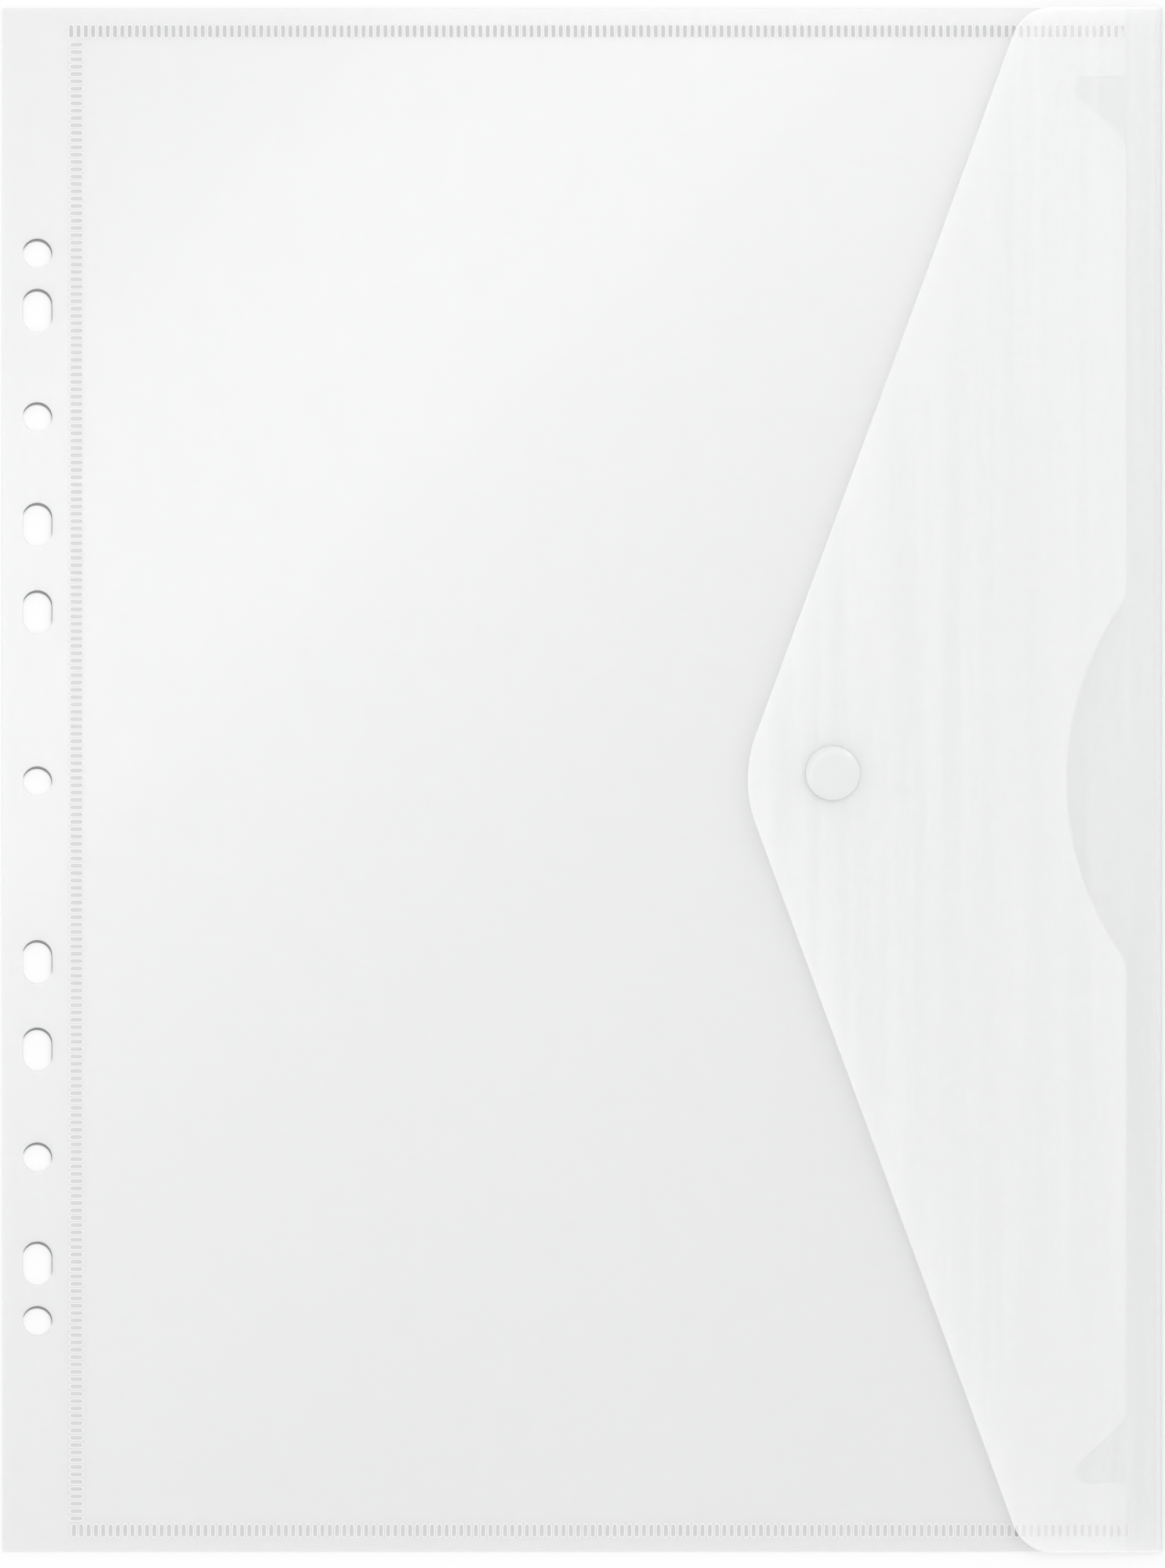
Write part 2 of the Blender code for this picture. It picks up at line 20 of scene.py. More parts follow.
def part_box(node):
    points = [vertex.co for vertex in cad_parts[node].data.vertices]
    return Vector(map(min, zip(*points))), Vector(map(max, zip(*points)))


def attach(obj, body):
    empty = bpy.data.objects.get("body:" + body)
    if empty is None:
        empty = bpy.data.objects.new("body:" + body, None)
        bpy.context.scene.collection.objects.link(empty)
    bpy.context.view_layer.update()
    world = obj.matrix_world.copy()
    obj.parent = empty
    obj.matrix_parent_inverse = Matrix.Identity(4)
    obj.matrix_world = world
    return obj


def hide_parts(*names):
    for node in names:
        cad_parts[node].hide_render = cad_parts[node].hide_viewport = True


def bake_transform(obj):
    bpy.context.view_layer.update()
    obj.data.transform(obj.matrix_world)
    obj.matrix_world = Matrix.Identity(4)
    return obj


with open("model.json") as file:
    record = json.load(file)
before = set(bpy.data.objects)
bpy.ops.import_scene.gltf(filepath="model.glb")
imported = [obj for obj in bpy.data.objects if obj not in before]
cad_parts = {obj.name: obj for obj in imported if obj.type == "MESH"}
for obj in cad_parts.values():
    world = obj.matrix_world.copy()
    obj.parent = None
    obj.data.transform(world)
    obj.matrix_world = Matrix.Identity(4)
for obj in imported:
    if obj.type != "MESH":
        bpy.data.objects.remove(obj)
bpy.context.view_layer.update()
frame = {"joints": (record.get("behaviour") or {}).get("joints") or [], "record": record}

LOG = logging.getLogger("snap_envelope")

# A taut film shades level up to this slope
LEVEL_SLOPE = math.cos(math.radians(8.0))
# The polished skin is much smoother than the film's own gloss
SKIN_ROUGHNESS = 0.06
# Clouds of the film are read between these two levels of the noise
CLOUD_SPAN = (0.3, 0.7)
# Radius of the holes that the snap's prongs pass through
PRONG_HOLE = 0.0009
# Points of an outline closer than this are one point
SAME_POINT = 1e-8
# A hole this much longer than wide is a slot
SLOT_RATIO = 1.2

Point = tuple[float, float]
Place = tuple[float, float, float]
Colour = tuple[float, float, float]
Corner = tuple[float, float, float, int]
Triangle = tuple[int, int, int]


class Body(Enum):
    """Bodies of the frame that the pieces ride on."""

    ENVELOPE = "envelope"
    FLAP = "flap"


class Slot(Enum):
    """Material slots of the record."""

    FILM = "film"
    FLAP = "flap_film"
    FUSED = "fused_film"
    SNAP = "snap_plastic"


class Run(Enum):
    """Direction that a row of weld dashes runs in."""

    ALONG_X = 0
    ALONG_Y = 1


class FilmPart(IntEnum):
    """Parts of every film that have finishes of their own."""

    FACE = 0
    CUT_EDGE = 1


class BackPart(IntEnum):
    """Further part of the back sheet: the lip beyond the mouth, paler as painted light."""

    LIP = 2


class FlapPart(IntEnum):
    """Further parts of the flap."""

    FOLD_OVER = 2
    FOLD_UNDER = 3
    CORE = 4


class DashPart(IntEnum):
    """Parts of a weld row that have finishes of their own; the dashes under the flap are darker as painted
    shade.
    """

    RIM = 0
    OPEN = 1
    SHADED_UNDER_FLAP = 2


# Outlines


def arc(centre: Point, radius: float, start: float, end: float, steps: int) -> list[Point]:
    """Lay points along an arc.

    Args:
        centre: Middle of the arc.
        radius: Radius of the arc.
        start: Angle of the first point, in radians.
        end: Angle of the last point, in radians.
        steps: Number of straight steps.

    Returns:
        The points, both ends included.
    """
    angles = [start + (end - start) * i / steps for i in range(steps + 1)]
    return [(centre[0] + radius * math.cos(a), centre[1] + radius * math.sin(a)) for a in angles]


def rounded(corners: list[Corner]) -> list[Point]:
    """Round the corners of a polygon.

    Args:
        corners: Corners as (x, y, radius, steps); a radius of 0 keeps the corner sharp.

    Returns:
        The outline's points, in the same order.
    """
    outline: list[Point] = []
    for i, (x, y, radius, steps) in enumerate(corners):
        if radius == 0.0:
            outline.append((x, y))
            continue
        before = corners[i - 1]
        after = corners[(i + 1) % len(corners)]
        to_before = math.atan2(before[1] - y, before[0] - x)
        to_after = math.atan2(after[1] - y, after[0] - x)
        opening = (to_after - to_before + math.pi) % (2 * math.pi) - math.pi
        middle = to_before + opening / 2
        reach = radius / math.sin(abs(opening) / 2)
        centre = (x + reach * math.cos(middle), y + reach * math.sin(middle))
        turn = math.copysign(math.pi - abs(opening), opening)
        first = middle + math.pi + turn / 2
        outline += arc(centre, radius, first, first - turn, steps)
    return outline


def stadium(centre: Point, length: float, width: float, run: Run, steps: int) -> list[Point]:
    """Draw a round-ended bar.

    Args:
        centre: Middle of the bar.
        length: Length over both ends.
        width: Width, which is also the diameter of the ends.
        run: Axis that the bar lies along.
        steps: Straight steps in each half-round end.

    Returns:
        The outline's points, counter-clockwise.
    """
    half = max(length - width, 0.0) / 2
    ahead = arc((half, 0.0), width / 2, -math.pi / 2, math.pi / 2, steps)
    behind = arc((-half, 0.0), width / 2, math.pi / 2, 3 * math.pi / 2, steps)
    points = ahead + behind if half > 0.0 else ahead[:-1] + behind[:-1]
    if run is Run.ALONG_Y:
        points = [(-y, x) for x, y in points]
    return [(centre[0] + x, centre[1] + y) for x, y in points]


def soft_ramp(value: float, start: float, end: float, ease: float = 0.3) -> float:
    """Give the share of an even ramp that starts and ends softly.

    Args:
        value: Place along the ramp.
        start: Place where the share is 0.
        end: Place where the share is 1.
        ease: Part of the ramp that each soft end takes.

    Returns:
        The share, from 0 to 1.
    """
    share = min(max((value - start) / (end - start), 0.0), 1.0)
    steepness = 1.0 / (1.0 - ease)
    if share < ease:
        return steepness * share * share / (2 * ease)
    if share > 1.0 - ease:
        return 1.0 - steepness * (1.0 - share) ** 2 / (2 * ease)
    return steepness * (share - ease / 2)


def inside(points: np.ndarray, loops: list[list[Point]]) -> np.ndarray:
    """Test which points lie on the material between an outline and its holes.

    Args:
        points: Points to test, one per row.
        loops: The outline and the holes in it.

    Returns:
        True for each point on the material.
    """
    crossings = np.zeros(len(points), int)
    for loop in loops:
        ring = np.array(loop)
        ahead = np.roll(ring, -1, axis=0)
        for (x0, y0), (x1, y1) in zip(ring, ahead):
            if y0 == y1:
                continue
            spans = (points[:, 1] > min(y0, y1)) & (points[:, 1] <= max(y0, y1))
            x = x0 + (points[:, 1] - y0) * (x1 - x0) / (y1 - y0)
            crossings += spans & (points[:, 0] < x)
    return crossings % 2 == 1


def fill(loops: list[list[Point]], spacing: float,
         rows: tuple[float, ...] = ()) -> tuple[list[Point], list[Triangle]]:
    """Fill an outline with triangles on an even grid.

    Args:
        loops: The outline and the holes in it.
        spacing: Distance of the grid's points.
        rows: Closer rows that the grid starts with, where the sheet will bend.

    Returns:
        The points and the triangles between them.
    """
    points = [Vector(p) for loop in loops for p in loop]
    edges: list[tuple[int, int]] = []
    start = 0
    for loop in loops:
        count = len(loop)
        edges += [(start + i, start + (i + 1) % count) for i in range(count)]
        start += count
    ring = np.array(loops[0])
    low, high = ring.min(0), ring.max(0)
    steps = np.maximum(np.ceil((high - low) / spacing).astype(int), 1)
    across = np.linspace(low[0], high[0], steps[0] + 1)[1:-1]
    if rows:
        across = np.concatenate([rows, across[across > rows[-1] + spacing / 2]])
    along = np.linspace(low[1], high[1], steps[1] + 1)[1:-1]
    grid = np.array([(x, y) for x in across for y in along]).reshape(-1, 2)
    points += [Vector(p) for p in grid[inside(grid, loops)]]
    found, _, faces, _, _, _ = delaunay_2d_cdt(points, edges, [], 0, SAME_POINT)
    flat = np.array([tuple(p) for p in found])
    triangles = np.array(faces)
    kept = triangles[inside(flat[triangles].mean(1), loops)]
    return [tuple(p) for p in flat], [tuple(int(i) for i in t) for t in kept]


# Finishes


@dataclass(frozen=True)
class Grain:
    """Procedural unevenness of a plastic surface.

    Attributes:
        cloud: Size of the broad clouds in the colour, in metres.
        fine: Size of the fine grain of the surface, in metres.
        depth: Height of the fine grain, in metres.
        stretch: Stretch of clouds and grain along Y, as on drawn film.
    """

    cloud: float = 0.05
    fine: float = 0.0006
    depth: float = 0.000004
    stretch: float = 1.0

    def noise(self, tree: bpy.types.NodeTree, size: float, detail: float) -> bpy.types.NodeSocket:
        """Add a noise that is stretched as the film was drawn.

        Args:
            tree: Nodes of the material.
            size: Size of the noise, in metres.
            detail: Number of finer layers in it.

        Returns:
            The noise's level, from 0 to 1.
        """
        place = tree.nodes.new("ShaderNodeTexCoord")
        drawn = tree.nodes.new("ShaderNodeMapping")
        drawn.inputs["Scale"].default_value = (1.0, 1.0 / self.stretch, 1.0)
        tree.links.new(place.outputs["Object"], drawn.inputs["Vector"])
        noise = tree.nodes.new("ShaderNodeTexNoise")
        noise.inputs["Scale"].default_value = 1.0 / size
        noise.inputs["Detail"].default_value = detail
        tree.links.new(drawn.outputs["Vector"], noise.inputs["Vector"])
        return noise.outputs["Fac"]


def spread(tree: bpy.types.NodeTree, level: bpy.types.NodeSocket, span: Point,
           levels: Point) -> bpy.types.NodeSocket:
    """Spread one span of a level over another.

    Args:
        tree: Nodes of the material or the world.
        level: Level that is spread.
        span: Lowest and highest level that count.
        levels: Levels that these two become.

    Returns:
        The spread level.
    """
    ramp = tree.nodes.new("ShaderNodeMapRange")
    ramp.inputs["From Min"].default_value, ramp.inputs["From Max"].default_value = span
    ramp.inputs["To Min"].default_value, ramp.inputs["To Max"].default_value = levels
    tree.links.new(level, ramp.inputs["Value"])
    return ramp.outputs["Result"]


@dataclass(frozen=True)
class PlasticFinish:
    """Translucent or solid plastic with clouds, grain and gloss.

    Attributes:
        name: Name of the material.
        colour: Colour of the pale clouds.
        shade: Colour of the dark clouds.
        roughness: Roughness of the dull and the glossy patches.
        alpha: Cover of one face.
        streaks: Rise of the cover in the pale clouds.
        specular: Level of the gloss.
        ior: Index of refraction, raised where a low cover would weaken the gloss.
        skin: Level of the clear polished skin over the gloss.
        grain: Unevenness of the surface.
    """

    name: str
    colour: Colour
    shade: Colour
    roughness: tuple[float, float] = (0.3, 0.335)
    alpha: float = 1.0
    streaks: float = 0.0
    specular: float = 0.5
    ior: float = 1.5
    skin: float = 0.0
    grain: Grain = field(default_factory=Grain)

    @cache
    def material(self) -> bpy.types.Material:
        """Make the material, once per finish.

        Returns:
            The material.
        """
        made = bpy.data.materials.new(self.name)
        made.use_nodes = True
        tree = made.node_tree
        sockets = tree.nodes["Principled BSDF"].inputs
        sockets["Alpha"].default_value = self.alpha
        sockets["Specular IOR Level"].default_value = self.specular
        sockets["IOR"].default_value = self.ior
        sockets["Coat Weight"].default_value = self.skin
        sockets["Coat Roughness"].default_value = SKIN_ROUGHNESS
        clouds = self.grain.noise(tree, self.grain.cloud, 1.0)
        fine = self.grain.noise(tree, self.grain.fine, 0.0)
        tint = tree.nodes.new("ShaderNodeMix")
        tint.data_type = "RGBA"
        tint.inputs["A"].default_value = (*self.shade, 1.0)
        tint.inputs["B"].default_value = (*self.colour, 1.0)
        tree.links.new(clouds, tint.inputs["Factor"])
        tree.links.new(tint.outputs["Result"], sockets["Base Color"])
        tree.links.new(spread(tree, fine, (0.0, 1.0), self.roughness), sockets["Roughness"])
        if self.streaks > 0.0:
            cover = (self.alpha, self.alpha + self.streaks)
            tree.links.new(spread(tree, clouds, CLOUD_SPAN, cover), sockets["Alpha"])
        if self.grain.depth > 0.0:
            bump = tree.nodes.new("ShaderNodeBump")
            bump.inputs["Distance"].default_value = self.grain.depth
            tree.links.new(fine, bump.inputs["Height"])
            tree.links.new(bump.outputs["Normal"], sockets["Normal"])
        return made


DRAWN_GRAIN = Grain(fine=0.002, depth=0.0, stretch=6.0)
STREAKED_GRAIN = Grain(cloud=0.003, fine=0.002, depth=0.0, stretch=40.0)
MOULDED_GRAIN = Grain(cloud=0.004, fine=0.0008, depth=0.000003)

# The back sheet is the same film as the front, made grey as painted shade: it stands for the darker ground
# under the envelope.
BACK_FILM_PAINTED_SHADE = PlasticFinish(
    "back_sheet_film", (0.722, 0.727, 0.731), (0.707, 0.712, 0.716),
    alpha=0.50, specular=1.0, ior=1.8, grain=DRAWN_GRAIN,
)
# The back sheet's lip beyond the mouth: grey as painted shade like the back sheet, a little paler as painted
# light, with a real clear glossy skin.
BACK_LIP_PAINTED_SHADE_AND_LIGHT = PlasticFinish(
    "back_sheet_lip", (0.765, 0.770, 0.774), (0.750, 0.755, 0.759),
    alpha=0.50, specular=1.0, ior=1.8, skin=0.3, grain=DRAWN_GRAIN,
)
FRONT_FILM = PlasticFinish(
    "front_sheet_film", (0.99, 0.99, 0.995), (0.98, 0.98, 0.985),
    alpha=0.45, specular=1.0, ior=1.8, skin=0.22, grain=DRAWN_GRAIN,
)
FLAP_FILM = PlasticFinish(
    "flap_sheet_film", (1.0, 1.0, 1.0), (0.996, 0.997, 0.998),
    alpha=0.2, streaks=0.048, specular=1.0, ior=1.7, grain=STREAKED_GRAIN,
)
FLAP_CORE = PlasticFinish(
    "flap_milky_core", (1.0, 1.0, 1.0), (0.996, 0.997, 0.998),
    alpha=0.2, streaks=0.048, specular=0.0, grain=STREAKED_GRAIN,
)
FOLD_FILM = PlasticFinish(
    "fold_film", (0.99, 0.992, 0.995), (0.98, 0.982, 0.985), alpha=0.39, grain=DRAWN_GRAIN,
)
FILM_EDGE = PlasticFinish("film_edge", (0.93, 0.93, 0.935), (0.91, 0.91, 0.915))
WELD_RIM = PlasticFinish("weld_rim", (0.99, 0.99, 0.99), (0.98, 0.98, 0.98), alpha=0.6)
MATT = (0.4, 0.5)
# The three rows are one weld; their greys differ to give each row the light and shade it shows where it
# lies, which is painted light and shade.
TOP_DASH = PlasticFinish("top_weld_dash", (0.66, 0.66, 0.665), (0.63, 0.63, 0.635), MATT, alpha=0.55)
BOTTOM_DASH = PlasticFinish("bottom_weld_dash", (0.725, 0.725, 0.73), (0.695, 0.695, 0.70), MATT, alpha=0.55)
SPINE_DASH = PlasticFinish("spine_weld_dash", (0.77, 0.77, 0.775), (0.74, 0.74, 0.745), MATT, alpha=0.55)
# Dashes under the flap: the same weld, made darker as painted shade of the flap.
TOP_PAINTED_SHADE_DASH = PlasticFinish(
    "top_weld_covered_dash", (0.32, 0.32, 0.325), (0.29, 0.29, 0.295), MATT, alpha=0.55,
)
BOTTOM_PAINTED_SHADE_DASH = PlasticFinish(
    "bottom_weld_covered_dash", (0.46, 0.46, 0.465), (0.43, 0.43, 0.435), MATT, alpha=0.55,
)
# Dark slanting wall along the upper side of each punched hole: painted shadow, standing for the shadow that
# the hole's edge casts into it.
PAINTED_SHADOW_WALL = PlasticFinish("punched_wall", (0.26, 0.265, 0.27), (0.22, 0.225, 0.23), (0.5, 0.6))
CAP_PLASTIC = PlasticFinish(
    "moulded_cap", (0.742, 0.757, 0.755), (0.722, 0.737, 0.735), (0.2, 0.28),
    specular=0.4, grain=MOULDED_GRAIN,
)
SNAP_PLASTIC = PlasticFinish(
    "moulded_snap", (0.95, 0.955, 0.95), (0.92, 0.925, 0.92), (0.2, 0.28),
    specular=0.4, grain=MOULDED_GRAIN,
)


# Pieces


def taut_normal(normal: Vector) -> Place:
    """Shade a gentle slope level.

    Args:
        normal: Normal of a face of the film.

    Returns:
        The normal to shade with; all zeros leave a steeper face as it is.
    """
    if abs(normal.z) < LEVEL_SLOPE:
        return (0.0, 0.0, 0.0)
    return (0.0, 0.0, math.copysign(1.0, normal.z))


@dataclass
class Mesh:
    """Points and faces that grow into one piece.

    Attributes:
        points: Places of the points.
        faces: Numbers of each face's points.
        finishes: Number of each face's finish.
    """

    points: list[Place] = field(default_factory=list)
    faces: list[tuple[int, ...]] = field(default_factory=list)
    finishes: list[int] = field(default_factory=list)

    def add(self, points: list[Place]) -> int:
        """Add points.

        Args:
            points: Places of the new points.

        Returns:
            The number of the first new point.
        """
        first = len(self.points)
        self.points += points
        return first

    def face(self, corners: tuple[int, ...], finish: int = 0) -> None:
        """Add a face with one of the piece's finishes."""
        self.faces.append(corners)
        self.finishes.append(finish)

    def join(self, other: "Mesh") -> None:
        """Take in the points and faces of another mesh.

        Args:
            other: The other mesh.
        """
        first = self.add(other.points)
        self.faces += [tuple(first + k for k in face) for face in other.faces]
        self.finishes += other.finishes

    def band(self, low: int, high: int, count: int, finish: int = 0) -> None:
        """Join two closed rings of points.

        Args:
            low: First point of the lower or outer ring.
            high: First point of the other ring.
            count: Points in each ring.
            finish: Number of the finish.
        """
        for i in range(count):
            k = (i + 1) % count
            self.face((low + i, low + k, high + k, high + i), finish)

    def piece(self, name: str, finishes: list[PlasticFinish], crease: float = 35.0,
              taut: bool = False) -> bpy.types.Object:
        """Make the piece.

        Args:
            name: Name of the piece.
            finishes: Finishes that the faces' numbers stand for.
            crease: Angle in degrees above which an edge stays sharp.
            taut: Whether gently sloping faces are shaded level, as a taut film looks.

        Returns:
            The new object, in the scene.
        """
        data = bpy.data.meshes.new(name)
        data.from_pydata(self.points, [], self.faces)
        for finish in finishes:
            data.materials.append(finish.material())
        data.polygons.foreach_set("material_index", [int(finish) for finish in self.finishes])
        data.polygons.foreach_set("use_smooth", [True] * len(self.faces))
        data.update()
        data.set_sharp_from_angle(angle=math.radians(crease))
        if taut:
            normals = [taut_normal(face.normal) for face in data.polygons for _ in face.vertices]
            data.normals_split_custom_set(normals)
        made = bpy.data.objects.new(name, data)
        bpy.context.scene.collection.objects.link(made)
        return made


def place_piece(piece: bpy.types.Object, body: Body, nodes: tuple[str, ...]) -> None:
    """Fix a piece to its body and report it.

    Args:
        piece: The piece.
        body: Body that it rides on.
        nodes: CAD nodes that it replaces.
    """
    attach(piece, body.value)
    if nodes:
        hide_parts(*nodes)
    LOG.info("%s: %d faces on %s", piece.name, len(piece.data.polygons), body.value)


def film_mesh(loops: list[list[Point]], spacing: float, lower: Callable[[float, float], Place],
              upper: Callable[[float, float], Place], rows: tuple[float, ...] = ()) -> Mesh:
    """Make a closed film between two surfaces, of faces and cut edges.

    Args:
        loops: Outline and holes of the flat film.
        spacing: Distance of the grid's points.
        lower: Place on the lower surface for a flat point.
        upper: Place on the upper surface for a flat point.
        rows: Closer rows of points, where the film bends.

    Returns:
        The film's mesh.
    """
    flat, triangles = fill(loops, spacing, rows)
    mesh = Mesh()
    low = mesh.add([lower(x, y) for x, y in flat])
    high = mesh.add([upper(x, y) for x, y in flat])
    edges: list[tuple[int, int]] = []
    for a, b, c in triangles:
        mesh.face((high + a, high + b, high + c), FilmPart.FACE)
        mesh.face((low + c, low + b, low + a), FilmPart.FACE)
        edges += [(a, b), (b, c), (c, a)]
    shared = set(edges)
    for a, b in edges:
        if (b, a) not in shared:
            mesh.face((low + a, low + b, high + b, high + a), FilmPart.CUT_EDGE)
    return mesh


# Layout read from the frame


@dataclass(frozen=True)
class Layout:
    """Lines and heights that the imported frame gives.

    Attributes:
        left: Left edge of the sheets.
        top: Top edge of the sheets.
        bottom: Bottom edge of the sheets.
        film: Thickness of the films.
        margin_under: Height of the front film's underside on the filing margin.
        panel_under: Height of the front film's underside over the pocket.
        mouth: Free edge of the front film.
        spine: Middle line of the spine weld.
        top_weld: Middle line of the top weld.
        bottom_weld: Middle line of the bottom weld.
        weld_width: Width of the welds.
        slope_run: Width of the slopes from the welds up to the panel.
        fold_x: Axis of the fold.
        fold_z: Height of the fold's axis.
        flap_fold_under: Height of the flap's underside at the fold.
        flap_seat_under: Height of the flap's underside at the snap.
        flap_line: Line where the flap's slope ends.
        tip: Tip of the flap.
        snap: Axis of the snap.
    """

    left: float
    top: float
    bottom: float
    film: float
    margin_under: float
    panel_under: float
    mouth: float
    spine: float
    top_weld: float
    bottom_weld: float
    weld_width: float
    slope_run: float
    fold_x: float
    fold_z: float
    flap_fold_under: float
    flap_seat_under: float
    flap_line: float
    tip: float
    snap: Point

    @classmethod
    def read(cls) -> "Layout":
        """Read the layout from the nodes' boxes and the hinge.

        Returns:
            The layout.
        """
        back_low, back_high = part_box("back_sheet")
        margin_low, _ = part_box("front_margin")
        panel_low, panel_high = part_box("front_panel")
        slope_low, slope_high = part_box("front_spine_slope")
        spine_low, spine_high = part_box("spine_weld")
        top_low, top_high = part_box("top_weld")
        bottom_low, bottom_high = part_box("bottom_weld")
        fold_low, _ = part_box("flap_slope")
        flap_low, flap_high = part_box("flap_panel")
        cap_low, cap_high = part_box("snap_cap")
        hinge = frame["joints"][0]["pos_m"]
        film = back_high.z - back_low.z
        return cls(
            left=back_low.x,
            top=back_high.y,
            bottom=back_low.y,
            film=film,
            margin_under=margin_low.z,
            panel_under=panel_low.z,
            mouth=panel_high.x,
            spine=(spine_low.x + spine_high.x) / 2,
            top_weld=(top_low.y + top_high.y) / 2,
            bottom_weld=(bottom_low.y + bottom_high.y) / 2,
            weld_width=spine_high.x - spine_low.x,
            slope_run=slope_high.x - slope_low.x,
            fold_x=hinge[0],
            fold_z=hinge[2],
            flap_fold_under=fold_low.z,
            flap_seat_under=flap_high.z - film,
            flap_line=flap_high.x,
            tip=flap_low.x,
            snap=((cap_low.x + cap_high.x) / 2, (cap_low.y + cap_high.y) / 2),
        )

    def front_under(self, x: float, y: float) -> float:
        """Measure the front film's underside, which swells softly from the welds.

        Args:
            x: Place across the envelope.
            y: Place along the envelope.

        Returns:
            The height of the underside there.
        """
        edge = self.weld_width / 2
        share = soft_ramp(x, self.spine + edge, self.spine + edge + self.slope_run)
        share *= soft_ramp(-y, -self.top_weld + edge, -self.top_weld + edge + self.slope_run)
        share *= soft_ramp(y, self.bottom_weld + edge, self.bottom_weld + edge + self.slope_run)
        return self.margin_under + (self.panel_under - self.margin_under) * share


@dataclass
class FilingMargin:
    """Punched holes of the filing margin, with a dark slanting wall of painted shadow along the upper side
    of each.

    Attributes:
        layout: Layout of the frame.
        diameter: Width of every hole.
        slot_length: Length of the slots.
        slant: How far the wall leans into the hole on its way down, which is how far the painted shadow
            reaches.
        steps: Straight steps in each half-round end.
    """

    layout: Layout
    diameter: float = 0.0060
    slot_length: float = 0.0089
    slant: Point = (-0.00015, -0.00052)
    steps: int = 24

    def holes(self) -> list[list[Point]]:
        """Draw the holes where the record has its openings.

        Returns:
            The outline of each hole.
        """
        loops = []
        for opening in frame["record"]["physics"]["openings"]:
            (x0, y0, _), (x1, y1, _) = opening["box_m"]
            long = (y1 - y0) > SLOT_RATIO * (x1 - x0)
            length = self.slot_length if long else self.diameter
            centre = ((x0 + x1) / 2, (y0 + y1) / 2)
            loops.append(stadium(centre, length, self.diameter, Run.ALONG_Y, self.steps))
        return loops

    def upper_side(self, loop: list[Point]) -> list[Point]:
        """Pick the part of a hole's outline that the wall leans away from, where the shadow falls into the
        hole.

        Args:
            loop: Outline of the hole.

        Returns:
            The points of that part, in order.
        """
        count = len(loop)
        shown = []
        for i in range(count):
            ahead, behind = loop[(i + 1) % count], loop[i - 1]
            outward = (ahead[1] - behind[1], behind[0] - ahead[0])
            shown.append(outward[0] * self.slant[0] + outward[1] * self.slant[1] < 0.0)
        first = next(i for i in range(count) if shown[i] and not shown[i - 1])
        return [loop[(first + i) % count] for i in range(count) if shown[(first + i) % count]]

    def build(self) -> None:
        """Build the dark slanting wall along the upper side of each hole, which is painted shadow."""
        mesh = Mesh()
        top = self.layout.margin_under + self.layout.film
        foot = self.layout.film / 4
        for loop in self.holes():
            run = self.upper_side(loop)
            last = len(run) - 1
            edge = mesh.add([(x, y, top) for x, y in run])
            toe = mesh.add([(x + self.slant[0], y + self.slant[1], foot) for x, y in run])
            heel = mesh.add([(x, y, foot) for x, y in run])
            for i in range(last):
                mesh.face((edge + i, edge + i + 1, toe + i + 1, toe + i))
                mesh.face((toe + i, toe + i + 1, heel + i + 1, heel + i))
                mesh.face((heel + i, heel + i + 1, edge + i + 1, edge + i))
            mesh.face((edge, toe, heel))
            mesh.face((edge + last, heel + last, toe + last))
        walls = mesh.piece("punched_walls", [PAINTED_SHADOW_WALL])
        place_piece(walls, Body.ENVELOPE, ())


